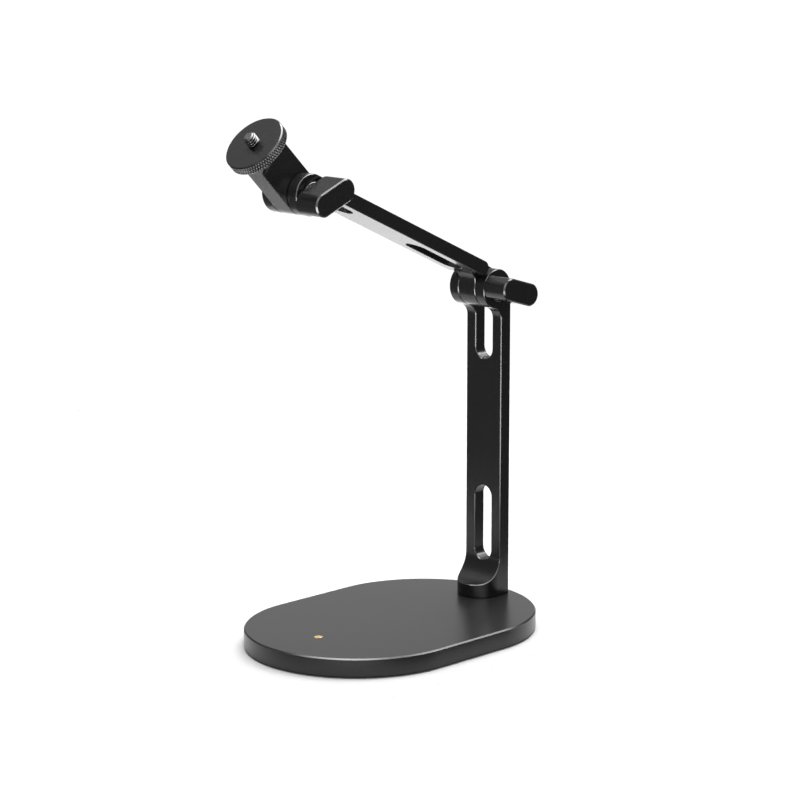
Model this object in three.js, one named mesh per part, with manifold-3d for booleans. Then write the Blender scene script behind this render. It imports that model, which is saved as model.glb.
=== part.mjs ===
// Desk boom stand: stadium base, slotted post, clamp-hinged boom arm and tilting camera head.
// Units are millimetres, +Z is up, the boom reaches towards -Y and the clamp knobs face +X.
import * as THREE from 'three';
import { mergeVertices } from 'three/addons/utils/BufferGeometryUtils.js';
import Module from 'manifold-3d';

const wasm = await Module();
wasm.setup();

// ---------------------------------------------------------------- driving dimensions
const BASE_LENGTH = 160;
const BASE_WIDTH = 113;
const BASE_TOP = 10;
const PAD_THICKNESS = 0.6;
const PAD_INSET = 4;
const BASE_CHAMFER = 0.5;
const DOT_RADIUS = 2.25;
const DOT_Y = -50.3;
const DOT_DEPTH = 3;

const RAIL_WIDTH = 24;
const RAIL_THICKNESS = 7;
const EDGE_CHAMFER = 0.4;
const KNUCKLE_RADIUS = 10;
const KNUCKLE_BLEND = 6.5;
const SLOT_WIDTH = 11.5;
const FORK_DEPTH = 37.7;

const POST_AXIS_Y = 63.4;
const POST_AXIS_Z = 170.5;
const POST_SLOT_START = 27.3;
const POST_SLOT_END = 66.8;
const FOOT_SWEEP = 13.4;
const FOOT_TOP = 30.2;
const FOOT_ROUND_Y = 65;

const ARM_LENGTH = 140.4;
const ARM_RISE = 24.8;
const ARM_SLAB_START = 10.3;
const ARM_SLOT_START = 19.5;
const ARM_SLOT_END = 57.5;

const HEAD_LEAN = 45;
const TONGUE_WIDTH = 11.2;
const FLANGE_BOTTOM = 29.8;
const FLANGE_TOP = 30.9;
const FLANGE_RADIUS = 14.3;
const FLARE_RADIUS = 6.4;
const DISC_CLEARANCE = 0.15;
const DISC_TOP = 35.9;
const DISC_RADIUS = 15.5;
const DISC_CHAMFER = 0.55;
const KNURL_COUNT = 72;
const KNURL_DEPTH = 0.35;
const STUD_TOP = 40.85;
const STUD_RADIUS = 3.175;
const STUD_PITCH = 1.27;
const STUD_ROOT_RADIUS = 2.39;
const STUD_LAST_CREST = 2.85;
const STUD_FACE_RADIUS = 2.1;
const STUD_SHANK_RADIUS = 2.5;
const SHANK_BORE_RADIUS = 2.58;
const STUD_SHANK_BOTTOM = 18;
const SHANK_BORE_BOTTOM = 17.6;
const GRUB_Z = 22;
const GRUB_RADIUS = 1.4;
const GRUB_BORE_RADIUS = 1.7;
const GRUB_TIP = 2.2;
const GRUB_SOCKET_FLAT = 1.5;
const GROOVE_RADIUS = 1.8;
const GROOVE_HALF = 1.7;

const BOLT_RADIUS = 3;
const BORE_RADIUS = 3.08;
const BOLT_TIP = -11.4;
const BOLT_END = 22.2;
const BOLT_SOCKET_END = 22.4;
const NUT_FLAT = 10;
const NUT_THICKNESS = 5;
const NUT_POCKET_FLAT = 10.5;
const NUT_POCKET_DEPTH = 5.2;
const COLLAR_RADIUS = 6.3;
const COLLAR_START = 12.15;
const COLLAR_END = 13.75;
const KNOB_REAR = 13.9;
const KNOB_FRONT = 28.4;
const KNOB_LENGTH = 26.0;
const KNOB_WIDTH = 11.4;
const KNOB_CHAMFER = 0.6;
const ELBOW_KNOB_TURN = -16.4;
const HEAD_KNOB_TURN = 22.5;

const WASHER_RADIUS = 7;
const WASHER_RECESS = 0.8;
const SCREW_X = 6.5;
const SCREW_Y = 65;
const SCREW_RADIUS = 2;
const SCREW_HEAD_RADIUS = 3.5;
const SCREW_HEAD_HEIGHT = 4;
const SCREW_SOCKET_FLAT = 3;
const SCREW_SOCKET_DEPTH = 2;
const SCREW_SEAT = 5;
const SCREW_TIP = 19;
const SCREW_HOLE_RADIUS = 2.2;
const SCREW_TAPPED_RADIUS = 2.05;
const SCREW_COUNTERBORE_RADIUS = 3.9;
const SCREW_TAPPED_END = 19.8;

// Small gap of a part let into a pocket, and the overshoot that carries a cutter past a face.
const FIT = 0.05;
const PAST = 1;

// Steps per half of a drawn arc.
const FINE = 18;
const MEDIUM = 12;
const SMALL = 10;
const deg = THREE.MathUtils.degToRad;

// ---------------------------------------------------------------- materials
const finish = (name, color, roughness, metalness) => {
  const material = new THREE.MeshStandardMaterial({ color, roughness, metalness });
  material.name = name;
  return material;
};
const anodised = finish('black_anodised', 0x1b1b1d, 0.42, 0.55);
const baseCoat = finish('base_coat', 0x222224, 0.5, 0.4);
const rubber = finish('foot_rubber', 0x141414, 0.92, 0);
const brass = finish('brass', 0xd9a648, 0.28, 1);
const steel = finish('bright_steel', 0xb9bbbe, 0.28, 1);
const screwSteel = finish('screw_steel', 0x55575b, 0.38, 1);
const nylon = finish('washer_nylon', 0x2c2c2e, 0.7, 0);

// ---------------------------------------------------------------- solid helpers
const toSolid = (geometry) => {
  geometry.deleteAttribute('normal');
  geometry.deleteAttribute('uv');
  const merged = mergeVertices(geometry, 1e-4);
  return new wasm.Manifold(new wasm.Mesh({
    numProp: 3,
    vertProperties: new Float32Array(merged.attributes.position.array),
    triVerts: new Uint32Array(merged.index.array),
  }));
};

const toMesh = (name, solid, material) => {
  const data = solid.getMesh();
  const geometry = new THREE.BufferGeometry();
  geometry.setAttribute('position', new THREE.BufferAttribute(new Float32Array(data.vertProperties), 3));
  geometry.setIndex(new THREE.BufferAttribute(new Uint32Array(data.triVerts), 1));
  const flat = geometry.toNonIndexed();
  flat.computeVertexNormals();
  const mesh = new THREE.Mesh(flat, material);
  mesh.name = name;
  return mesh;
};

const alongX = new THREE.Matrix4().makeBasis(
  new THREE.Vector3(0, 1, 0), new THREE.Vector3(0, 0, 1), new THREE.Vector3(1, 0, 0));
const alongY = new THREE.Matrix4().makeBasis(
  new THREE.Vector3(1, 0, 0), new THREE.Vector3(0, 0, 1), new THREE.Vector3(0, -1, 0));
const alongZ = new THREE.Matrix4();

// Prism of a flat shape between two stations, with an optional chamfer that stays inside the shape.
const prism = (shape, from, to, axis = alongZ, chamfer = 0, curveSegments = MEDIUM) => {
  const bevel = chamfer > 0;
  const geometry = new THREE.ExtrudeGeometry(shape, {
    depth: to - from - 2 * chamfer,
    curveSegments,
    bevelEnabled: bevel,
    bevelThickness: chamfer,
    bevelSize: chamfer,
    bevelOffset: -chamfer,
    bevelSegments: 1,
  });
  geometry.translate(0, 0, from + chamfer);
  geometry.applyMatrix4(axis);
  return toSolid(geometry);
};

// Wedge ring that cuts a 45 degree chamfer around an outline lying on the surface at one station.
const rimCutter = (shape, station, axis, chamfer, curveSegments = MEDIUM) => {
  const geometry = new THREE.ExtrudeGeometry(shape, {
    depth: 0.02,
    curveSegments,
    bevelEnabled: true,
    bevelThickness: chamfer,
    bevelSize: chamfer,
    bevelSegments: 1,
  });
  geometry.translate(0, 0, station - 0.01);
  geometry.applyMatrix4(axis);
  return toSolid(geometry);
};

const circleShape = (radius, u = 0, v = 0) => {
  const shape = new THREE.Shape();
  shape.absarc(u, v, radius, 0, 2 * Math.PI, false);
  return shape;
};

const polygonShape = (sides, flat, turn = 0) => {
  const corner = flat / 2 / Math.cos(Math.PI / sides);
  const points = Array.from({ length: sides }, (_, i) => {
    const angle = turn + (2 * Math.PI * i) / sides;
    return new THREE.Vector2(corner * Math.cos(angle), corner * Math.sin(angle));
  });
  return new THREE.Shape(points);
};

// Obround outline centred on the origin with its long axis along the first direction.
const obroundShape = (length, width, centreU = 0, centreV = 0) => {
  const r = width / 2;
  const half = length / 2 - r;
  const shape = new THREE.Shape();
  shape.moveTo(centreU - half, centreV - r);
  shape.lineTo(centreU + half, centreV - r);
  shape.absarc(centreU + half, centreV, r, -Math.PI / 2, Math.PI / 2, false);
  shape.lineTo(centreU - half, centreV + r);
  shape.absarc(centreU - half, centreV, r, Math.PI / 2, (3 * Math.PI) / 2, false);
  return shape;
};

const uprightSlotShape = (bottom, top, width) => {
  const r = width / 2;
  const shape = new THREE.Shape();
  shape.moveTo(r, bottom + r);
  shape.lineTo(r, top - r);
  shape.absarc(0, top - r, r, 0, Math.PI, false);
  shape.lineTo(-r, bottom + r);
  shape.absarc(0, bottom + r, r, Math.PI, 2 * Math.PI, false);
  return shape;
};

const cylinderX = (radius, from, to, segments = SMALL, chamfer = 0) => (
  prism(circleShape(radius), from, to, alongX, chamfer, segments));
const cylinderZ = (radius, from, to, segments = SMALL, chamfer = 0) => (
  prism(circleShape(radius), from, to, alongZ, chamfer, segments));

// Side outline of a rail that ends in a round knuckle: back face tangent to the knuckle, front face
// blended into it. The hinge axis sits at (axisY, axisZ) and the rail comes up from startZ.
const knuckleOutline = (axisY, axisZ, startZ) => {
  const back = axisY + KNUCKLE_RADIUS;
  const front = back - RAIL_THICKNESS;
  const blendY = front - KNUCKLE_BLEND;
  const reach = KNUCKLE_RADIUS + KNUCKLE_BLEND;
  const drop = Math.sqrt(reach ** 2 - (blendY - axisY) ** 2);
  const tangent = Math.atan2(-drop, blendY - axisY) + 2 * Math.PI;
  const shape = new THREE.Shape();
  shape.moveTo(front, startZ);
  shape.lineTo(back, startZ);
  shape.lineTo(back, axisZ);
  shape.absarc(axisY, axisZ, KNUCKLE_RADIUS, 0, tangent, false);
  shape.absarc(blendY, axisZ - drop, KNUCKLE_BLEND, tangent - Math.PI, 0, true);
  shape.lineTo(front, startZ);
  return shape;
};

// Cuts an upright slot through the rail thickness and breaks its rims on both faces.
const cutSlot = (solid, axisY, bottom, top, frontTop = top) => {
  const back = axisY + KNUCKLE_RADIUS;
  const front = back - RAIL_THICKNESS;
  const shape = uprightSlotShape(bottom, top, SLOT_WIDTH);
  return solid
    .subtract(prism(shape, -back - 5, -axisY + 2 * KNUCKLE_RADIUS, alongY))
    .subtract(rimCutter(shape, -back, alongY, EDGE_CHAMFER))
    .subtract(rimCutter(uprightSlotShape(bottom, frontTop, SLOT_WIDTH), -front, alongY, EDGE_CHAMFER));
};

// The fork gap is a slot left open beyond the knuckles; its front rim is broken up to the blend.
const cutFork = (solid, axisY, axisZ) => (
  cutSlot(solid, axisY, axisZ - FORK_DEPTH, axisZ + 3 * KNUCKLE_RADIUS, axisZ - KNUCKLE_RADIUS));

const halfWidth = RAIL_WIDTH / 2;
const tongueFace = TONGUE_WIDTH / 2;

// Cross bore of a fork: clear hole right through and a hexagon pocket for the nut on the -X side.
const cutForkBore = (solid, axisY, axisZ) => {
  const from = -halfWidth - PAST;
  const bore = cylinderX(BORE_RADIUS, from, halfWidth + PAST, MEDIUM);
  const pocket = prism(polygonShape(6, NUT_POCKET_FLAT), from, -halfWidth + NUT_POCKET_DEPTH, alongX);
  return solid.subtract(bore.add(pocket).translate([0, axisY, axisZ]));
};

const makeNut = (name) => {
  const body = prism(polygonShape(6, NUT_FLAT), -halfWidth + 0.1, -halfWidth + NUT_THICKNESS, alongX, 0.3);
  const bore = cylinderX(BORE_RADIUS, -halfWidth - PAST, 0, MEDIUM);
  return toMesh(name, body.subtract(bore), screwSteel);
};

// ---------------------------------------------------------------- base plate and its fittings
const baseShape = (inset) => obroundShape(BASE_LENGTH - 2 * inset, BASE_WIDTH - 2 * inset);
const lieAlongY = new THREE.Matrix4().makeRotationZ(Math.PI / 2);

const makeBasePlate = () => {
  let plate = prism(baseShape(0), PAD_THICKNESS, BASE_TOP, lieAlongY, BASE_CHAMFER, FINE);
  plate = plate.subtract(cylinderZ(DOT_RADIUS + FIT, BASE_TOP - DOT_DEPTH, BASE_TOP + PAST)
    .translate([0, DOT_Y, 0]));
  for (const side of [-1, 1]) {
    const at = [side * SCREW_X, SCREW_Y, 0];
    plate = plate
      .subtract(cylinderZ(SCREW_HOLE_RADIUS, 0, BASE_TOP + PAST).translate(at))
      .subtract(cylinderZ(SCREW_COUNTERBORE_RADIUS, 0, SCREW_SEAT).translate(at));
  }
  return toMesh('base_plate', plate, baseCoat);
};

const makePad = () => {
  let pad = prism(baseShape(PAD_INSET), 0, PAD_THICKNESS, lieAlongY, 0, FINE);
  for (const side of [-1, 1]) {
    pad = pad.subtract(cylinderZ(SCREW_COUNTERBORE_RADIUS + 0.6, -PAST, PAD_THICKNESS + PAST)
      .translate([side * SCREW_X, SCREW_Y, 0]));
  }
  return toMesh('base_rubber_pad', pad, rubber);
};

const makeDot = () => {
  const plug = cylinderZ(DOT_RADIUS, BASE_TOP - DOT_DEPTH, BASE_TOP, SMALL, 0.15);
  return toMesh('brass_inlay_dot', plug.translate([0, DOT_Y, 0]), brass);
};

const makePostScrew = (name, side) => {
  const headBottom = SCREW_SEAT - SCREW_HEAD_HEIGHT;
  const head = cylinderZ(SCREW_HEAD_RADIUS, headBottom, SCREW_SEAT, SMALL, 0.25);
  const shank = cylinderZ(SCREW_RADIUS, SCREW_SEAT - PAST, SCREW_TIP, SMALL, 0.3);
  const socket = prism(polygonShape(6, SCREW_SOCKET_FLAT), 0, headBottom + SCREW_SOCKET_DEPTH);
  return toMesh(name, head.add(shank).subtract(socket).translate([side * SCREW_X, SCREW_Y, 0]), screwSteel);
};

// ---------------------------------------------------------------- post
const makePost = () => {
  const back = POST_AXIS_Y + KNUCKLE_RADIUS;
  const front = back - RAIL_THICKNESS;
  const rail = prism(knuckleOutline(POST_AXIS_Y, POST_AXIS_Z, BASE_TOP), -halfWidth, halfWidth,
    alongX, EDGE_CHAMFER, FINE);

  const sweep = new THREE.Shape();
  sweep.moveTo(front - FOOT_SWEEP, BASE_TOP);
  sweep.lineTo(back - 1, BASE_TOP);
  sweep.lineTo(back - 1, FOOT_TOP);
  sweep.lineTo(front, FOOT_TOP);
  sweep.absarc(front - FOOT_SWEEP, FOOT_TOP, FOOT_SWEEP, 0, -Math.PI / 2, true);
  const footSide = prism(sweep, -halfWidth, halfWidth, alongX, 0, FINE);

  const plan = new THREE.Shape();
  plan.moveTo(halfWidth, FOOT_ROUND_Y);
  plan.lineTo(halfWidth, back);
  plan.lineTo(-halfWidth, back);
  plan.lineTo(-halfWidth, FOOT_ROUND_Y);
  plan.absarc(0, FOOT_ROUND_Y, halfWidth, Math.PI, 2 * Math.PI, false);
  const footPlan = prism(plan, BASE_TOP, FOOT_TOP + 1, alongZ, 0, FINE);

  let post = rail.add(footSide.intersect(footPlan));
  post = cutSlot(post, POST_AXIS_Y, POST_SLOT_START, POST_SLOT_END);
  post = cutFork(post, POST_AXIS_Y, POST_AXIS_Z);
  post = cutForkBore(post, POST_AXIS_Y, POST_AXIS_Z);
  for (const side of [-1, 1]) {
    post = post.subtract(cylinderZ(SCREW_TAPPED_RADIUS, 0, SCREW_TAPPED_END)
      .translate([side * SCREW_X, SCREW_Y, 0]));
  }
  return toMesh('post', post, anodised);
};

// ---------------------------------------------------------------- clamp knob sets
const makeCollar = (name) => {
  const ring = cylinderX(COLLAR_RADIUS, COLLAR_START, COLLAR_END, MEDIUM, 0.2);
  return toMesh(name, ring.subtract(cylinderX(BORE_RADIUS, 0, KNOB_FRONT, MEDIUM)), anodised);
};

const makeKnob = (name) => {
  const grip = prism(obroundShape(KNOB_LENGTH, KNOB_WIDTH), KNOB_REAR, KNOB_FRONT, alongX, KNOB_CHAMFER);
  return toMesh(name, grip.subtract(cylinderX(BORE_RADIUS, 0, BOLT_SOCKET_END, MEDIUM)), anodised);
};

const makeBolt = (name) => (
  toMesh(name, cylinderX(BOLT_RADIUS, BOLT_TIP, BOLT_END, MEDIUM, EDGE_CHAMFER), screwSteel));

// ---------------------------------------------------------------- boom arm
// The arm is drawn upright: elbow axis at the origin, head axis ARM_LENGTH above it.
const makeArm = () => {
  const back = KNUCKLE_RADIUS;
  const front = back - RAIL_THICKNESS;
  const nose = RAIL_THICKNESS / 2;
  const noseZ = ARM_SLAB_START + nose;
  const joinZ = (ARM_SLOT_END + ARM_LENGTH) / 2;

  const upper = prism(knuckleOutline(0, ARM_LENGTH, joinZ), -halfWidth, halfWidth,
    alongX, EDGE_CHAMFER, FINE);
  const lowerShape = new THREE.Shape();
  lowerShape.moveTo(back, noseZ);
  lowerShape.lineTo(back, joinZ + 2);
  lowerShape.lineTo(front, joinZ + 2);
  lowerShape.lineTo(front, noseZ);
  lowerShape.absarc(front + nose, noseZ, nose, Math.PI, 2 * Math.PI, false);
  const lower = prism(lowerShape, -halfWidth, halfWidth, alongX, EDGE_CHAMFER, MEDIUM);
  const tongueOutline = knuckleOutline(0, 0, -ARM_SLOT_START + 0.5);
  const tongue = prism(tongueOutline, -tongueFace, tongueFace, alongX, EDGE_CHAMFER, FINE)
    .mirror([0, 0, 1]);

  let arm = upper.add(lower).add(tongue);
  arm = cutSlot(arm, 0, ARM_SLOT_START, ARM_SLOT_END);
  arm = cutFork(arm, 0, ARM_LENGTH);
  arm = cutForkBore(arm, 0, ARM_LENGTH);
  arm = arm.subtract(cutTongueBore());
  return toMesh('boom_arm', arm, anodised);
};

// Bolt bore of a tongue with a shallow washer seat on both faces.
const cutTongueBore = () => {
  const seat = WASHER_RADIUS + 0.3;
  return cylinderX(BORE_RADIUS, -halfWidth, halfWidth, MEDIUM)
    .add(cylinderX(seat, tongueFace - WASHER_RECESS, halfWidth, MEDIUM))
    .add(cylinderX(seat, -halfWidth, WASHER_RECESS - tongueFace, MEDIUM));
};

const makeWasher = (name, side) => {
  const inner = tongueFace - WASHER_RECESS + FIT;
  const outer = tongueFace + FIT;
  const from = side > 0 ? inner : -outer;
  const to = side > 0 ? outer : -inner;
  const ring = cylinderX(WASHER_RADIUS, from, to, MEDIUM);
  return toMesh(name, ring.subtract(cylinderX(BORE_RADIUS, -halfWidth, halfWidth, MEDIUM)), nylon);
};

// ---------------------------------------------------------------- camera head
// The head is drawn upright: tilt axis at the origin, camera stud pointing up.
const makeBracket = () => {
  const flareZ = FLANGE_BOTTOM - FLARE_RADIUS;
  const front = new THREE.Shape();
  front.moveTo(tongueFace, -KNUCKLE_RADIUS - PAST);
  front.lineTo(tongueFace, flareZ);
  front.absarc(tongueFace + FLARE_RADIUS, flareZ, FLARE_RADIUS, Math.PI, Math.PI / 2, true);
  front.lineTo(halfWidth, FLANGE_TOP);
  front.lineTo(-halfWidth, FLANGE_TOP);
  front.lineTo(-tongueFace - FLARE_RADIUS, FLANGE_BOTTOM);
  front.absarc(-tongueFace - FLARE_RADIUS, flareZ, FLARE_RADIUS, Math.PI / 2, 0, true);
  front.lineTo(-tongueFace, -KNUCKLE_RADIUS - PAST);
  const tee = prism(front, -KNUCKLE_RADIUS, KNUCKLE_RADIUS, alongY, EDGE_CHAMFER, MEDIUM);

  const side = new THREE.Shape();
  side.moveTo(KNUCKLE_RADIUS, 0);
  side.lineTo(KNUCKLE_RADIUS, FLANGE_TOP);
  side.lineTo(-KNUCKLE_RADIUS, FLANGE_TOP);
  side.lineTo(-KNUCKLE_RADIUS, 0);
  side.absarc(0, 0, KNUCKLE_RADIUS, Math.PI, 2 * Math.PI, false);
  const envelope = prism(side, -halfWidth - PAST, halfWidth + PAST, alongX, 0, FINE);

  const shankBore = cylinderZ(SHANK_BORE_RADIUS, SHANK_BORE_BOTTOM, FLANGE_TOP + PAST, MEDIUM);
  const grubBore = prism(circleShape(GRUB_BORE_RADIUS, 0, GRUB_Z), -KNUCKLE_RADIUS - PAST, 0,
    alongY, 0, SMALL);
  const flangeRound = cylinderZ(FLANGE_RADIUS, -KNUCKLE_RADIUS - PAST, FLANGE_TOP, FINE);
  const bracket = tee.intersect(envelope)
    .intersect(flangeRound)
    .subtract(shankBore)
    .subtract(grubBore)
    .subtract(cutTongueBore());
  return toMesh('head_bracket', bracket, anodised);
};

// Set screw from the back whose flat tip sits in the stud's groove and keeps the stud captive.
const makeGrub = () => {
  const body = prism(circleShape(GRUB_RADIUS, 0, GRUB_Z), -KNUCKLE_RADIUS + 0.3, -GRUB_TIP,
    alongY, 0.2, SMALL);
  const socket = prism(polygonShape(6, GRUB_SOCKET_FLAT), -KNUCKLE_RADIUS, -KNUCKLE_RADIUS + 2, alongY)
    .translate([0, 0, GRUB_Z]);
  return toMesh('stud_grub_screw', body.subtract(socket), screwSteel);
};

const makeDisc = () => {
  const bottom = FLANGE_TOP + DISC_CLEARANCE;
  const points = [];
  for (let i = 0; i < KNURL_COUNT; i += 1) {
    const step = (2 * Math.PI) / KNURL_COUNT;
    const root = DISC_RADIUS - KNURL_DEPTH;
    points.push(new THREE.Vector2(root * Math.cos(i * step), root * Math.sin(i * step)));
    points.push(new THREE.Vector2(
      DISC_RADIUS * Math.cos((i + 0.5) * step), DISC_RADIUS * Math.sin((i + 0.5) * step)));
  }
  const blank = prism(new THREE.Shape(points), bottom, DISC_TOP);
  const rimChamfer = DISC_CHAMFER + 0.1;
  const inner = DISC_RADIUS - DISC_CHAMFER;
  const outer = DISC_RADIUS + 0.1;
  const rim = [
    [0, bottom], [inner, bottom], [outer, bottom + rimChamfer],
    [outer, DISC_TOP - rimChamfer], [inner, DISC_TOP], [0, DISC_TOP],
  ].map(([radius, z]) => new THREE.Vector2(radius, z));
  const envelope = toSolid(new THREE.LatheGeometry(rim, KNURL_COUNT)
    .applyMatrix4(new THREE.Matrix4().makeRotationX(Math.PI / 2)));
  const bore = cylinderZ(SHANK_BORE_RADIUS, 0, STUD_TOP, MEDIUM);
  return toMesh('knurled_disc', blank.intersect(envelope).subtract(bore), anodised);
};

// Stud turned in one piece: threaded tip, plain shank through the disc, captive groove near the foot.
const makeStud = () => {
  const points = [
    [0, STUD_SHANK_BOTTOM],
    [STUD_SHANK_RADIUS, STUD_SHANK_BOTTOM],
    [STUD_SHANK_RADIUS, GRUB_Z - GROOVE_HALF - 0.1],
    [GROOVE_RADIUS, GRUB_Z - GROOVE_HALF],
    [GROOVE_RADIUS, GRUB_Z + GROOVE_HALF],
    [STUD_SHANK_RADIUS, GRUB_Z + GROOVE_HALF + 0.1],
    [STUD_SHANK_RADIUS, DISC_TOP],
  ];
  const crests = Math.floor((STUD_TOP - DISC_TOP) / STUD_PITCH);
  for (let i = 0; i < crests; i += 1) {
    const z = DISC_TOP + FIT + i * STUD_PITCH;
    points.push([STUD_ROOT_RADIUS, z]);
    points.push([STUD_RADIUS, z + 0.45 * STUD_PITCH]);
    points.push([STUD_RADIUS, z + 0.6 * STUD_PITCH]);
  }
  const lastRoot = DISC_TOP + FIT + crests * STUD_PITCH;
  points.push([STUD_ROOT_RADIUS, lastRoot]);
  points.push([STUD_LAST_CREST, lastRoot + 0.3 * STUD_PITCH]);
  points.push([STUD_FACE_RADIUS, STUD_TOP]);
  points.push([0, STUD_TOP]);
  const profile = points.map(([radius, z]) => new THREE.Vector2(radius, z));
  const stud = toSolid(new THREE.LatheGeometry(profile, 2 * MEDIUM)
    .applyMatrix4(new THREE.Matrix4().makeRotationX(Math.PI / 2)));
  return toMesh('camera_stud', stud, steel);
};

// ---------------------------------------------------------------- assembly
const group = (name, position, turn, ...children) => {
  const node = new THREE.Group();
  node.name = name;
  node.position.set(...position);
  node.rotation.x = turn;
  node.add(...children);
  return node;
};

const knobSet = (prefix, position, turn) => (
  group(`${prefix}_clamp`, position, turn,
    makeCollar(`${prefix}_collar`),
    makeKnob(`${prefix}_knob`),
    makeBolt(`${prefix}_bolt`)));

const armTurn = deg(90 - ARM_RISE);
const headTurn = deg(HEAD_LEAN) - armTurn;

const head = group('head_group', [0, 0, ARM_LENGTH], headTurn,
  makeBracket(),
  makeWasher('head_washer_left', -1),
  makeWasher('head_washer_right', 1),
  makeGrub(),
  makeDisc(),
  makeStud());

const headNut = makeNut('head_lock_nut');
headNut.position.set(0, 0, ARM_LENGTH);

const boom = group('arm_group', [0, POST_AXIS_Y, POST_AXIS_Z], armTurn,
  makeArm(),
  makeWasher('elbow_washer_left', -1),
  makeWasher('elbow_washer_right', 1),
  headNut,
  knobSet('head', [0, 0, ARM_LENGTH], deg(HEAD_KNOB_TURN) - armTurn),
  head);

const elbowNut = makeNut('elbow_lock_nut');
elbowNut.position.set(0, POST_AXIS_Y, POST_AXIS_Z);

const stand = new THREE.Group();
stand.name = 'boom_stand';
stand.add(
  makeBasePlate(),
  makePad(),
  makeDot(),
  makePost(),
  makePostScrew('post_screw_left', -1),
  makePostScrew('post_screw_right', 1),
  elbowNut,
  knobSet('elbow', [0, POST_AXIS_Y, POST_AXIS_Z], deg(ELBOW_KNOB_TURN)),
  boom);

export default stand;
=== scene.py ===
"""Looks of the desk boom stand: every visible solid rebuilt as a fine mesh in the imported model's frame."""
import math

import bmesh
import bpy
from mathutils import Matrix, Vector


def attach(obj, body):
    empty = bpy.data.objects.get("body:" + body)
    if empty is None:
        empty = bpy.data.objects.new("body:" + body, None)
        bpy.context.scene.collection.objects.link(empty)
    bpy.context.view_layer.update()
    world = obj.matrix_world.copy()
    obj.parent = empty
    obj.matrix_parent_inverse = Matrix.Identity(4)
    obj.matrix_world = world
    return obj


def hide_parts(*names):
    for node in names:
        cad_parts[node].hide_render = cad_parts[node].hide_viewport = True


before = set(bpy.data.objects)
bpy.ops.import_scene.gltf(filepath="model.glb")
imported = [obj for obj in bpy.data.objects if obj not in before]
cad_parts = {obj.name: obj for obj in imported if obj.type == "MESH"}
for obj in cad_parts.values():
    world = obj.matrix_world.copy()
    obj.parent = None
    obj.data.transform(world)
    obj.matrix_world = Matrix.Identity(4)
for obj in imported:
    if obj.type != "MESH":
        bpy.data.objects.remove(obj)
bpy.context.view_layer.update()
MM = 0.001

# ---------------------------------------------------------------- dimensions, in millimetres
BASE_LENGTH, BASE_WIDTH, BASE_TOP, PAD_TOP = 160.0, 113.0, 10.0, 0.6
SCREW_X, SCREW_Y, SCREW_HEAD_BORE, SCREW_HEAD_TOP = 6.5, 65.0, 3.9, 5.0
DOT_Y, DOT_RADIUS, DOT_BOTTOM = -50.3, 2.25, 7.5
HALF = 12.0                      # half the width of post and arm
THICK = 7.0                      # thickness of post and arm
KNUCKLE = 10.0                   # radius of the rounded ends at the hinges
BLEND = 6.5                      # radius of the curve from a knuckle into its rail
GAP = 5.75                       # half the width of slots and fork gaps
FORK_DEPTH = 37.7
POST_Y, POST_Z = 63.4, 170.5
POST_SLOT = (27.3, 66.8)
FOOT_TOP, FOOT_SWEEP, FOOT_ROUND_Y = 30.2, 13.4, 65.0
ARM_LENGTH, ARM_RISE = 140.4, 24.8
ARM_START, ARM_SLOT = 10.3, (19.5, 57.5)
TONGUE = 5.6                     # half the width of the tongues
HEAD_LEAN = 45.0
FLANGE_BOTTOM, FLANGE_TOP, FLANGE_RADIUS, FLARE = 29.8, 30.9, 14.3, 6.4
DISC_BOTTOM, DISC_TOP, DISC_RADIUS = 31.05, 35.9, 15.5
STUD_TOP, STUD_RADIUS, STUD_FACE, PITCH, SHANK = 40.85, 3.175, 2.1, 1.27, 2.5
COLLAR_RADIUS, COLLAR_FROM, COLLAR_TO = 6.3, 12.15, 13.75
KNOB_FROM, KNOB_TO, KNOB_LENGTH, KNOB_WIDTH = 13.9, 28.4, 26.0, 11.4
BORE = 3.08
NUT_FLAT, NUT_POCKET = 10.5, 5.2
SEAT_RADIUS, SEAT_DEPTH = 7.3, 0.8   # washer seats in the tongues
SHANK_BOTTOM, SHANK_BORE, SHANK_BORE_BOTTOM = 18.0, 2.58, 17.6
GRUB_Z, GRUB_BORE, GROOVE_RADIUS, GROOVE_HALF = 22.0, 1.7, 1.8, 1.7
EDGE, PLATE_EDGE, KNOB_EDGE, COLLAR_EDGE = 0.34, 0.65, 0.6, 0.25   # widths of the broken edges
DISC_EDGE, KNURL_DEPTH, DISC_INSET = 0.5, 0.34, 0.06
PAST = 1.0                       # how far a cutter reaches past the face it cuts

# Places of the turned groups: drawn upright, turned about X, then moved to their hinge.
ARM_TURN = math.radians(90 - ARM_RISE)
AT_ELBOW = Matrix.Translation((0, POST_Y, POST_Z))
ARM_PLACE = AT_ELBOW @ Matrix.Rotation(ARM_TURN, 4, "X")
AT_HEAD = Matrix.Translation(ARM_PLACE @ Vector((0, 0, ARM_LENGTH)))
HEAD_PLACE = AT_HEAD @ Matrix.Rotation(math.radians(HEAD_LEAN), 4, "X")
ELBOW_KNOB_PLACE = AT_ELBOW @ Matrix.Rotation(math.radians(-16.4), 4, "X")
HEAD_KNOB_PLACE = AT_HEAD @ Matrix.Rotation(math.radians(22.5), 4, "X")

# Axes a flat outline is extruded along: columns are the outline's two directions and the depth.
ALONG_X = Matrix(((0, 0, 1, 0), (1, 0, 0, 0), (0, 1, 0, 0), (0, 0, 0, 1)))
ALONG_Y = Matrix(((1, 0, 0, 0), (0, 0, -1, 0), (0, 1, 0, 0), (0, 0, 0, 1)))
ALONG_Z = Matrix.Identity(4)


# ---------------------------------------------------------------- outlines
def arc(cx, cy, r, start, stop, steps):
    """Points of an arc from start to stop, in degrees, both ends included."""
    angles = [math.radians(start + (stop - start) * i / steps) for i in range(steps + 1)]
    return [(cx + r * math.cos(a), cy + r * math.sin(a)) for a in angles]


def circle(r, steps=96, cx=0.0, cy=0.0):
    return arc(cx, cy, r, 0, 360, steps)[:-1]


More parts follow.
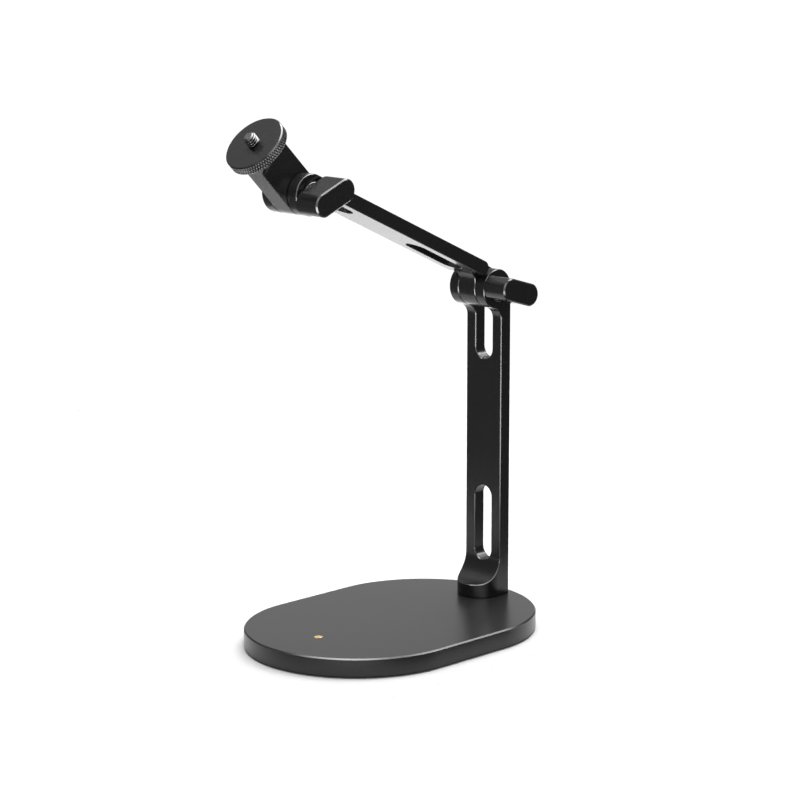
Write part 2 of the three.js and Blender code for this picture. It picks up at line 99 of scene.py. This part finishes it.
def obround(length, width, steps=48):
    r = width / 2
    h = length / 2 - r
    return arc(h, 0, r, -90, 90, steps) + arc(-h, 0, r, 90, 270, steps)


def upright_slot(bottom, top, half=GAP, steps=40):
    return arc(0, top - half, half, 0, 180, steps) + arc(0, bottom + half, half, 180, 360, steps)


def knuckle_outline(axis_y, axis_z, start_z, steps=96):
    """Side outline of a rail that ends in a round knuckle blended into its front face."""
    back = axis_y + KNUCKLE
    front = back - THICK
    blend_y = front - BLEND
    drop = math.sqrt((KNUCKLE + BLEND) ** 2 - (blend_y - axis_y) ** 2)
    tangent = math.degrees(math.atan2(-drop, blend_y - axis_y)) + 360
    points = [(front, start_z), (back, start_z)]
    points += arc(axis_y, axis_z, KNUCKLE, 0, tangent, steps)
    points += arc(blend_y, axis_z - drop, BLEND, tangent - 180, 0, steps // 3)
    return points


# ---------------------------------------------------------------- solids
def solid(outline, low, high, axis=ALONG_Z):
    """Closed prism of an outline between two stations along the given axis, as a bmesh."""
    bm = bmesh.new()
    lower = [bm.verts.new(axis @ Vector((x, y, low))) for x, y in outline]
    upper = [bm.verts.new(axis @ Vector((x, y, high))) for x, y in outline]
    bm.faces.new(list(reversed(lower)))
    bm.faces.new(upper)
    join_rings(bm, [(lower, upper)])
    bmesh.ops.remove_doubles(bm, verts=bm.verts, dist=1e-5)
    bmesh.ops.recalc_face_normals(bm, faces=bm.faces)
    return bm


def ring_point(radius, z, i, steps):
    """Point i of a level circle about Z that has the given number of points."""
    angle = 2 * math.pi * i / steps
    return radius * math.cos(angle), radius * math.sin(angle), z


def plain_ring(bm, radius, z, steps):
    return [bm.verts.new(ring_point(radius, z, i, steps)) for i in range(steps)]


def join_rings(bm, pairs):
    """Skin each pair of rings with four-sided faces, or with a fan where one ring is a single point."""
    for a, b in pairs:
        steps = max(len(a), len(b))
        for i in range(steps):
            j = (i + 1) % steps
            if len(a) == 1:
                bm.faces.new((a[0], b[j], b[i]))
            elif len(b) == 1:
                bm.faces.new((a[i], a[j], b[0]))
            else:
                bm.faces.new((a[i], a[j], b[j], b[i]))


def revolve(profile, steps=128):
    """Closed turned body about Z from (radius, z) points; the first and last lie on the axis or meet."""
    bm = bmesh.new()
    rings = [plain_ring(bm, radius, z, steps) if radius > 0 else [bm.verts.new((0, 0, z))]
             for radius, z in profile]
    pairs = list(zip(rings, rings[1:]))
    if profile[0][0] > 0:
        pairs.append((rings[-1], rings[0]))
    join_rings(bm, pairs)
    bmesh.ops.recalc_face_normals(bm, faces=bm.faces)
    return bm


def new_object(name, bm):
    mesh = bpy.data.meshes.new(name)
    bm.to_mesh(mesh)
    bm.free()
    piece = bpy.data.objects.new(name, mesh)
    bpy.context.scene.collection.objects.link(piece)
    return piece


def apply_modifiers(piece):
    depsgraph = bpy.context.evaluated_depsgraph_get()
    depsgraph.update()
    mesh = bpy.data.meshes.new_from_object(piece.evaluated_get(depsgraph))
    old = piece.data
    piece.modifiers.clear()
    piece.data = mesh
    bpy.data.meshes.remove(old)


def combine(piece, bm, operation):
    """Join or cut a solid into a piece and drop the cutter."""
    other = new_object("cutter", bm)
    boolean = piece.modifiers.new("cut", "BOOLEAN")
    boolean.solver = "EXACT"
    boolean.operation = operation
    boolean.object = other
    apply_modifiers(piece)
    mesh = other.data
    bpy.data.objects.remove(other)
    bpy.data.meshes.remove(mesh)


def cut(piece, bm):
    combine(piece, bm, "DIFFERENCE")


def join(piece, bm):
    combine(piece, bm, "UNION")


def moved(bm, x=0.0, y=0.0, z=0.0):
    bmesh.ops.translate(bm, verts=bm.verts, vec=(x, y, z))
    return bm


def break_edges(piece, width=EDGE, segments=1, angle=32):
    """Bevel the sharp edges of a piece that is still drawn in millimetres."""
    bm = bmesh.new()
    bm.from_mesh(piece.data)
    bmesh.ops.remove_doubles(bm, verts=bm.verts, dist=2e-3)
    bmesh.ops.dissolve_limit(bm, angle_limit=math.radians(0.4), verts=bm.verts, edges=bm.edges)
    bm.to_mesh(piece.data)
    bm.free()
    bevel = piece.modifiers.new("edges", "BEVEL")
    bevel.width = width
    bevel.segments = segments
    bevel.limit_method = "ANGLE"
    bevel.angle_limit = math.radians(angle)
    bevel.use_clamp_overlap = False
    bevel.harden_normals = False
    bevel.miter_outer = "MITER_SHARP"
    apply_modifiers(piece)


def finish_piece(piece, place, body, nodes, material, smooth=28):
    """Put a piece drawn in millimetres in its place, in metres, and tie it to its CAD node."""
    piece.data.transform(Matrix.Scale(MM, 4) @ place)
    piece.data.update()
    piece.data.materials.clear()
    piece.data.materials.append(material)
    piece.data.shade_smooth()
    piece.data.set_sharp_from_angle(angle=math.radians(smooth))
    normals = piece.modifiers.new("normals", "WEIGHTED_NORMAL")
    normals.keep_sharp = True
    normals.weight = 80
    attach(piece, body)
    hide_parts(*nodes)
    return piece


# ---------------------------------------------------------------- materials
def new_material(name):
    material = bpy.data.materials.new(name)
    material.use_nodes = True
    tree = material.node_tree
    shader = tree.nodes["Principled BSDF"]
    return material, tree, shader


def noise(tree, scale, detail=2.0, rough=0.5):
    node = tree.nodes.new("ShaderNodeTexNoise")
    node.inputs["Scale"].default_value = scale
    node.inputs["Detail"].default_value = detail
    node.inputs["Roughness"].default_value = rough
    coords = tree.nodes.new("ShaderNodeTexCoord")
    tree.links.new(coords.outputs["Object"], node.inputs["Vector"])
    return node


def ramp(tree, source, low, high, at=(0.3, 0.7)):
    node = tree.nodes.new("ShaderNodeValToRGB")
    node.color_ramp.elements[0].position = at[0]
    node.color_ramp.elements[1].position = at[1]
    node.color_ramp.elements[0].color = (*low, 1)
    node.color_ramp.elements[1].color = (*high, 1)
    tree.links.new(source, node.inputs["Fac"])
    return node


def spread(tree, source, low, high, across=(0.3, 0.7)):
    """Map the source from the span `across` onto low..high."""
    node = tree.nodes.new("ShaderNodeMapRange")
    node.inputs["From Min"].default_value = across[0]
    node.inputs["From Max"].default_value = across[1]
    node.inputs["To Min"].default_value = low
    node.inputs["To Max"].default_value = high
    tree.links.new(source, node.inputs["Value"])
    return node


def distance_along(tree, coordinates, direction):
    """How far a point or ray reaches along a fixed direction."""
    node = tree.nodes.new("ShaderNodeVectorMath")
    node.operation = "DOT_PRODUCT"
    node.inputs[1].default_value = direction
    coords = tree.nodes.new("ShaderNodeTexCoord")
    tree.links.new(coords.outputs[coordinates], node.inputs[0])
    return node


def bump(tree, shader, source, strength, distance):
    node = tree.nodes.new("ShaderNodeBump")
    node.inputs["Strength"].default_value = strength
    node.inputs["Distance"].default_value = distance
    tree.links.new(source, node.inputs["Height"])
    tree.links.new(node.outputs["Normal"], shader.inputs["Normal"])


def blasted_metal(name, low, high, rough, ior):
    """Bead-blasted and dyed metal: fine grain, slight mottling of tone and gloss."""
    material, tree, shader = new_material(name)
    broad = noise(tree, 900, 4)
    fine = noise(tree, 2600, 2)
    tone = ramp(tree, broad.outputs["Fac"], low, high)
    tree.links.new(tone.outputs["Color"], shader.inputs["Base Color"])
    gloss = spread(tree, noise(tree, 1500, 3).outputs["Fac"], rough[0], rough[1])
    tree.links.new(gloss.outputs["Result"], shader.inputs["Roughness"])
    shader.inputs["IOR"].default_value = ior
    bump(tree, shader, fine.outputs["Fac"], 0.05, 0.00002)
    return material


def simple_metal(name, low, high, rough, scale, strength):
    """Bare metal with a fine grain in tone and gloss."""
    material, tree, shader = new_material(name)
    grain = noise(tree, scale, 3)
    tone = ramp(tree, grain.outputs["Fac"], low, high)
    tree.links.new(tone.outputs["Color"], shader.inputs["Base Color"])
    gloss = spread(tree, grain.outputs["Fac"], rough[0], rough[1])
    tree.links.new(gloss.outputs["Result"], shader.inputs["Roughness"])
    shader.inputs["Metallic"].default_value = 1.0
    bump(tree, shader, grain.outputs["Fac"], strength, 0.00002)
    return material


def soft_black(name, low, high, rough, scale):
    """Matte rubber or nylon with a coarse grain."""
    material, tree, shader = new_material(name)
    grain = noise(tree, scale, 4)
    tone = ramp(tree, grain.outputs["Fac"], low, high)
    tree.links.new(tone.outputs["Color"], shader.inputs["Base Color"])
    shader.inputs["Roughness"].default_value = rough
    bump(tree, shader, grain.outputs["Fac"], 0.4, 0.00006)
    return material


def paint_crest_highlights(material, groove_shade, crest, at=(0.25, 0.85)):
    """Colour a grooved piece by how high each point stands above its groove: crests get a painted highlight
    and grooves painted shade.
    """
    tree = material.node_tree
    height = tree.nodes.new("ShaderNodeAttribute")
    height.attribute_name = "crest"
    tone = ramp(tree, height.outputs["Fac"], groove_shade, crest, at)
    tree.links.new(tone.outputs["Color"], tree.nodes["Principled BSDF"].inputs["Base Color"])
    return material


def grey(level):
    return (level, level, level)


anodised = blasted_metal("black_anodised", grey(0.0006), grey(0.0022), (0.25, 0.27), 1.46)
base_coat = blasted_metal("base_coat", grey(0.0008), grey(0.0024), (0.29, 0.31), 1.51)
bright_steel = simple_metal("bright_steel", (0.042, 0.042, 0.043), (0.062, 0.062, 0.063),
                            (0.33, 0.38), 2500, 0.05)
screw_steel = simple_metal("screw_steel", (0.10, 0.10, 0.11), (0.17, 0.17, 0.18), (0.28, 0.42), 1800, 0.15)
brass = simple_metal("brass", (0.96, 0.64, 0.22), (1.0, 0.74, 0.30), (0.2, 0.3), 1500, 0.08)
knurl_metal = blasted_metal("knurl_anodised_painted_highlights", grey(0.001), grey(0.002), (0.32, 0.38), 1.22)
# The knurl's crests are painted many times lighter than its grooves, a painted highlight on the ridges.
knurl_painted_highlights = paint_crest_highlights(knurl_metal, grey(0.0005), grey(0.042), (0.5, 0.95))
# The stud's thread crests and top face are painted lighter as a highlight, its thread roots darker as
# painted shade.
thread_painted_highlights = paint_crest_highlights(bright_steel, grey(0.012), (0.085, 0.085, 0.086))
rubber = soft_black("foot_rubber", grey(0.010), grey(0.022), 0.9, 1400)
nylon = soft_black("washer_nylon", (0.022, 0.022, 0.023), (0.034, 0.034, 0.035), 0.62, 900)

CAD_FINISH = {
    "base_rubber_pad": rubber,
    "post_screw_left": screw_steel, "post_screw_right": screw_steel,
    "elbow_lock_nut": screw_steel, "head_lock_nut": screw_steel,
    "elbow_bolt": screw_steel, "head_bolt": screw_steel, "stud_grub_screw": screw_steel,
    "elbow_washer_left": nylon, "elbow_washer_right": nylon,
    "head_washer_left": nylon, "head_washer_right": nylon,
}
for node, material in CAD_FINISH.items():
    piece = bpy.data.objects[node]
    for slot in piece.material_slots:
        slot.material = material

# ---------------------------------------------------------------- base plate and inlay
plate = new_object("base_plate_fine", solid(obround(BASE_LENGTH, BASE_WIDTH, 128), PAD_TOP, BASE_TOP))
plate.data.transform(Matrix.Rotation(math.pi / 2, 4, "Z"))
for side in (-1, 1):
    cut(plate, moved(solid(circle(SCREW_HEAD_BORE, 48), -PAST, SCREW_HEAD_TOP), side * SCREW_X, SCREW_Y, 0))
break_edges(plate, PLATE_EDGE)
cut(plate, moved(solid(circle(DOT_RADIUS + 0.06, 64), DOT_BOTTOM, BASE_TOP + PAST), 0, DOT_Y, 0))
finish_piece(plate, Matrix.Identity(4), "base", ["base_plate"], base_coat)

dot_profile = [(0, DOT_BOTTOM), (DOT_RADIUS, DOT_BOTTOM), (DOT_RADIUS, BASE_TOP - 0.12), (2.22, 9.95),
               (2.14, 9.985), (1.9, 9.995), (0, BASE_TOP)]
dot = new_object("brass_inlay_fine", revolve(dot_profile, 64))
finish_piece(dot, Matrix.Translation((0, DOT_Y, 0)), "base", ["brass_inlay_dot"], brass)


# ---------------------------------------------------------------- post
def slot_cutter(axis_y, bottom, top):
    return solid(upright_slot(bottom, top), -(axis_y + KNUCKLE + 5), -(axis_y - 2 * KNUCKLE), ALONG_Y)


def cut_fork_bore(piece, axis_y, axis_z):
    cut(piece, moved(solid(circle(BORE, 64), -HALF - PAST, HALF + PAST, ALONG_X), 0, axis_y, axis_z))
    corner = NUT_FLAT / 2 / math.cos(math.pi / 6)
    cut(piece, moved(solid(circle(corner, 6), -HALF - PAST, -HALF + NUT_POCKET, ALONG_X), 0, axis_y, axis_z))


def cut_tongue_bore(piece):
    """Bolt bore of a tongue about its own axis, with a washer seat in both faces."""
    cut(piece, solid(circle(BORE, 64), -HALF, HALF, ALONG_X))
    for side in (-1, 1):
        low, high = sorted((side * (TONGUE - SEAT_DEPTH), side * (TONGUE + PAST)))
        cut(piece, solid(circle(SEAT_RADIUS, 96), low, high, ALONG_X))


back = POST_Y + KNUCKLE
front = back - THICK
post = new_object("post_fine", solid(knuckle_outline(POST_Y, POST_Z, BASE_TOP), -HALF, HALF, ALONG_X))
sweep = [(front - FOOT_SWEEP, BASE_TOP), (back, BASE_TOP), (back, FOOT_TOP)]
sweep += arc(front - FOOT_SWEEP, FOOT_TOP, FOOT_SWEEP, 0, -90, 40)
plan = [(HALF, back), (-HALF, back)] + arc(0, FOOT_ROUND_Y, HALF, 180, 360, 72)
foot = new_object("foot", solid(sweep, -HALF - PAST, HALF + PAST, ALONG_X))
combine(foot, solid(plan, BASE_TOP - PAST, FOOT_TOP + PAST), "INTERSECT")
foot_solid = bmesh.new()
foot_solid.from_mesh(foot.data)
bpy.data.objects.remove(foot)
join(post, foot_solid)
cut(post, slot_cutter(POST_Y, *POST_SLOT))
cut(post, slot_cutter(POST_Y, POST_Z - FORK_DEPTH, POST_Z + 30))
cut_fork_bore(post, POST_Y, POST_Z)
break_edges(post)
finish_piece(post, Matrix.Identity(4), "base", ["post"], anodised)

# ---------------------------------------------------------------- boom arm, drawn upright from the elbow
arm_front = KNUCKLE - THICK
nose = THICK / 2
outline = knuckle_outline(0, ARM_LENGTH, ARM_START + nose)
outline = arc(arm_front + nose, ARM_START + nose, nose, 180, 360, 40)[1:-1] + outline[1:] + outline[:1]
arm = new_object("boom_arm_fine", solid(outline, -HALF, HALF, ALONG_X))
tongue_outline = [(y, -z) for y, z in knuckle_outline(0, 0, 0.5 - ARM_SLOT[0])]
join(arm, solid(tongue_outline, -TONGUE, TONGUE, ALONG_X))
cut(arm, slot_cutter(0, *ARM_SLOT))
cut(arm, slot_cutter(0, ARM_LENGTH - FORK_DEPTH, ARM_LENGTH + 30))
cut_fork_bore(arm, 0, ARM_LENGTH)
cut_tongue_bore(arm)
break_edges(arm)
finish_piece(arm, ARM_PLACE, "arm", ["boom_arm"], anodised)

# ---------------------------------------------------------------- head bracket, drawn upright from its axis
flare_z = FLANGE_BOTTOM - FLARE
tee = [(TONGUE, -KNUCKLE - PAST)]
tee += arc(TONGUE + FLARE, flare_z, FLARE, 180, 90, 32)
tee += [(HALF, FLANGE_TOP), (-HALF, FLANGE_TOP)]
tee += arc(-TONGUE - FLARE, flare_z, FLARE, 90, 0, 32)
tee += [(-TONGUE, -KNUCKLE - PAST)]
bracket = new_object("head_bracket_fine", solid(tee, -KNUCKLE, KNUCKLE, ALONG_Y))
side_view = [(KNUCKLE, FLANGE_TOP + PAST), (-KNUCKLE, FLANGE_TOP + PAST)]
side_view += arc(0, 0, KNUCKLE, 180, 360, 72)
combine(bracket, solid(side_view, -HALF - PAST, HALF + PAST, ALONG_X), "INTERSECT")
combine(bracket, solid(circle(FLANGE_RADIUS, 128), -KNUCKLE - PAST, FLANGE_TOP + PAST), "INTERSECT")
cut(bracket, solid(circle(SHANK_BORE, 64), SHANK_BORE_BOTTOM, FLANGE_TOP + PAST))
cut(bracket, moved(solid(circle(GRUB_BORE, 32), -KNUCKLE - PAST, 0, ALONG_Y), 0, 0, GRUB_Z))
cut_tongue_bore(bracket)
break_edges(bracket)
finish_piece(bracket, HEAD_PLACE, "head", ["head_bracket"], anodised)

# ---------------------------------------------------------------- clamp knobs and collars
for prefix, place, thrust, clamp in (("elbow", ELBOW_KNOB_PLACE, "elbow_thrust", "elbow_clamp"),
                                     ("head", HEAD_KNOB_PLACE, "head_thrust", "head_clamp")):
    grip = new_object(f"{prefix}_knob_fine",
                      solid(obround(KNOB_LENGTH, KNOB_WIDTH, 64), KNOB_FROM, KNOB_TO, ALONG_X))
    break_edges(grip, KNOB_EDGE)
    finish_piece(grip, place, clamp, [f"{prefix}_knob"], anodised)
    inner = COLLAR_RADIUS - COLLAR_EDGE
    ring_profile = [(BORE, COLLAR_FROM), (inner, COLLAR_FROM), (COLLAR_RADIUS, COLLAR_FROM + COLLAR_EDGE),
                    (COLLAR_RADIUS, COLLAR_TO - COLLAR_EDGE), (inner, COLLAR_TO), (BORE, COLLAR_TO)]
    ring = new_object(f"{prefix}_collar_fine", revolve(ring_profile, 96))
    ring.data.transform(Matrix.Rotation(math.pi / 2, 4, "Y"))
    finish_piece(ring, place, thrust, [f"{prefix}_collar"], anodised)


# ---------------------------------------------------------------- knurled disc
def knurled_disc():
    """Turned disc whose rim carries two crossing sets of helical grooves."""
    starts, around, rows = 72, 1152, 26
    low, high = DISC_BOTTOM + DISC_EDGE, DISC_TOP - DISC_EDGE
    lead = 2.4 * 2 * math.pi * DISC_RADIUS / starts
    bm = bmesh.new()

    def groove(phase):
        return abs(2 * (phase - math.floor(phase)) - 1)

    # Height above the groove, which the material reads to paint highlights on the crests.
    crest_height = bm.verts.layers.float.new("crest")
    rings = []
    for row in range(rows + 1):
        z = low + (high - low) * row / rows
        fade = min(1.0, min(z - low, high - z) / 0.25)
        ring = []
        for i in range(around):
            along = starts * i / around
            a = groove(along + (z - low) / lead)
            b = groove(along - (z - low) / lead)
            height = min(1.0, 1.6 * min(a, b) + 0.05)
            radius = DISC_RADIUS - DISC_INSET - KNURL_DEPTH * (1 - height) * fade
            vert = bm.verts.new(ring_point(radius, z, i, around))
            vert[crest_height] = height
            ring.append(vert)
        rings.append(ring)

    flat = DISC_RADIUS - DISC_EDGE
    below = [plain_ring(bm, SHANK, DISC_BOTTOM, around), plain_ring(bm, flat, DISC_BOTTOM, around)]
    above = [plain_ring(bm, flat - DISC_INSET, DISC_TOP, around), plain_ring(bm, SHANK, DISC_TOP, around)]
    rings = below + rings + above
    join_rings(bm, zip(rings, rings[1:] + rings[:1]))
    bmesh.ops.recalc_face_normals(bm, faces=bm.faces)
    return bm


disc = new_object("knurled_disc_fine", knurled_disc())
finish_piece(disc, HEAD_PLACE, "camera_screw", ["knurled_disc"], anodised, smooth=24)
# The knurled band takes the material with painted crest highlights.
disc.data.materials.append(knurl_painted_highlights)
to_disc = HEAD_PLACE.inverted()
past_edge = DISC_EDGE + 0.05
for face in disc.data.polygons:
    if DISC_BOTTOM + past_edge < (to_disc @ (face.center / MM)).z < DISC_TOP - past_edge:
        face.material_index = 1


# ---------------------------------------------------------------- camera stud with a helical thread
def threaded_stud():
    """Stud with a helical thread above the disc and a plain shank below, grooved for the set screw."""
    around, per_pitch = 96, 16
    start, top = DISC_TOP - 1.0, STUD_TOP
    depth = 0.62 * PITCH
    rows = int((top - start) / PITCH * per_pitch)
    bm = bmesh.new()
    # Height above the thread root, which the material reads to paint crest highlights and root shade.
    crest_height = bm.verts.layers.float.new("crest")
    rings = []
    for row in range(rows + 1):
        z = start + (top - start) * row / rows
        ring = []
        for i in range(around):
            phase = (z / PITCH - i / around) % 1.0
            flank = abs(2 * phase - 1)
            crest = min(1.0, max(0.0, (flank - 0.14) / 0.72))
            radius = STUD_RADIUS - depth * (1 - crest)
            radius = min(radius, STUD_FACE + top - z)
            vert = bm.verts.new(ring_point(radius, z, i, around))
            # The top ring and the tip take the full crest colour, so the end face carries the painted
            # highlight.
            vert[crest_height] = 1.0 if row == rows else crest
            ring.append(vert)
        rings.append(ring)
    groove_low, groove_high = GRUB_Z - GROOVE_HALF, GRUB_Z + GROOVE_HALF
    shank = [(SHANK, SHANK_BOTTOM), (SHANK, groove_low - 0.1), (GROOVE_RADIUS, groove_low),
             (GROOVE_RADIUS, groove_high), (SHANK, groove_high + 0.1), (SHANK, start - 0.2)]
    rings = [plain_ring(bm, radius, z, around) for radius, z in shank] + rings
    end = bm.verts.new((0, 0, SHANK_BOTTOM))
    tip = bm.verts.new((0, 0, top))
    tip[crest_height] = 1.0
    rings = [[end]] + rings + [[tip]]
    join_rings(bm, zip(rings, rings[1:]))
    bmesh.ops.recalc_face_normals(bm, faces=bm.faces)
    return bm


stud = new_object("camera_stud_fine", threaded_stud())
finish_piece(stud, HEAD_PLACE, "camera_screw", ["camera_stud"], thread_painted_highlights, smooth=40)

# ---------------------------------------------------------------- floor, light and camera
floor_bm = bmesh.new()
corners = [(-0.55, 0.0), (-0.14, -0.1), (0.074, -0.105), (0.074, 0.55), (-0.55, 0.55)]
floor_bm.faces.new([floor_bm.verts.new((x, y, 0)) for x, y in corners])
floor = new_object("floor", floor_bm)
floor_material, floor_tree, floor_shader = new_material("studio_floor")
# Floor colour darker towards the front and right of the base: painted shade that deepens the contact shadow
# there and darkens what the base's right side reflects.
ahead = distance_along(floor_tree, "Object", (0.8, -0.6, 0))
floor_painted_shade = spread(floor_tree, ahead.outputs["Value"], 0.235, 0.2, (-0.02, 0.04))
floor_tree.links.new(floor_painted_shade.outputs["Result"], floor_shader.inputs["Base Color"])
floor_shader.inputs["Roughness"].default_value = 0.8
floor_shader.inputs["Specular IOR Level"].default_value = 0.0
floor_shader.inputs["Emission Color"].default_value = (1, 1, 1, 1)
floor_shader.inputs["Emission Strength"].default_value = 0.02
floor.data.materials.append(floor_material)

world = bpy.data.worlds.new("studio")
bpy.context.scene.world = world
world.use_nodes = True
background = world.node_tree.nodes["Background"]
background.inputs["Color"].default_value = (1, 1, 1, 1)
nodes, links = world.node_tree.nodes, world.node_tree.links
sideways = distance_along(world.node_tree, "Generated", (0.7071, 0.7071, 0))
room = spread(world.node_tree, sideways.outputs["Value"], 0.29, 0.16, (-0.2, 0.6))
light_path = nodes.new("ShaderNodeLightPath")
seen = nodes.new("ShaderNodeMapRange")
seen.inputs["To Max"].default_value = 1.05
links.new(light_path.outputs["Is Camera Ray"], seen.inputs["Value"])
links.new(room.outputs["Result"], seen.inputs["To Min"])
links.new(seen.outputs["Result"], background.inputs["Strength"])


def area_light(name, place, target, size, radiance, turn=0.0):
    """Rectangular lamp of a given radiance that shines at its target and is itself unseen."""
    light = bpy.data.lights.new(name, "AREA")
    light.shape = "RECTANGLE"
    light.size, light.size_y = size
    light.energy = radiance * math.pi * size[0] * size[1]
    lamp = bpy.data.objects.new(name, light)
    aim = (Vector(target) - Vector(place)).to_track_quat("-Z", "Y").to_matrix().to_4x4()
    lamp.matrix_world = Matrix.Translation(place) @ aim @ Matrix.Rotation(math.radians(turn), 4, "Z")
    lamp.visible_camera = False
    bpy.context.scene.collection.objects.link(lamp)


area_light("soft_top", (-0.03, 0.225, 1.3), (-0.03, 0.225, 0), (1.06, 1.85), 18)
area_light("soft_rim", (0.5, 1.05, 1.3), (0.5, 1.05, 0), (0.36, 1.1), 16)
area_light("soft_left", (-0.95, 0.0, 1.1), (0, 0, 0.1), (0.8, 1.0), 0.3)
area_light("soft_back", (-1.2, 1.2, 0.33), (0, 0, 0.05), (1.6, 0.6), 0.5)
area_light("soft_front", (1.25, -1.25, 0.42), (0, 0, 0.12), (2.4, 0.4), 3)
area_light("soft_high", (1.0, -0.62, 1.05), (0, 0, 0.17), (0.8, 1.1), 5.5)
area_light("soft_low", (0.455, -0.595, 0.003), (0.455, -0.595, 1), (0.4, 1.0), 24, -45)
area_light("soft_floor", (-0.3, 0.35, 0.003), (-0.3, 0.35, 1), (0.45, 0.4), 1.0)

camera_data = bpy.data.cameras.new("camera")
camera_data.sensor_width = 36
camera_data.lens = 123.75
camera_data.clip_end = 50
camera = bpy.data.objects.new("camera", camera_data)
azimuth, elevation = math.radians(45), math.radians(11.506)
look_back = Vector((math.sin(azimuth) * math.cos(elevation), -math.cos(azimuth) * math.cos(elevation),
                    math.sin(elevation)))
camera.location = (0.94366, -0.93760, 0.39166)
camera.rotation_euler = (-look_back).to_track_quat("-Z", "Y").to_euler()
bpy.context.scene.collection.objects.link(camera)
bpy.context.scene.camera = camera
bpy.context.scene.view_settings.view_transform = "Standard"
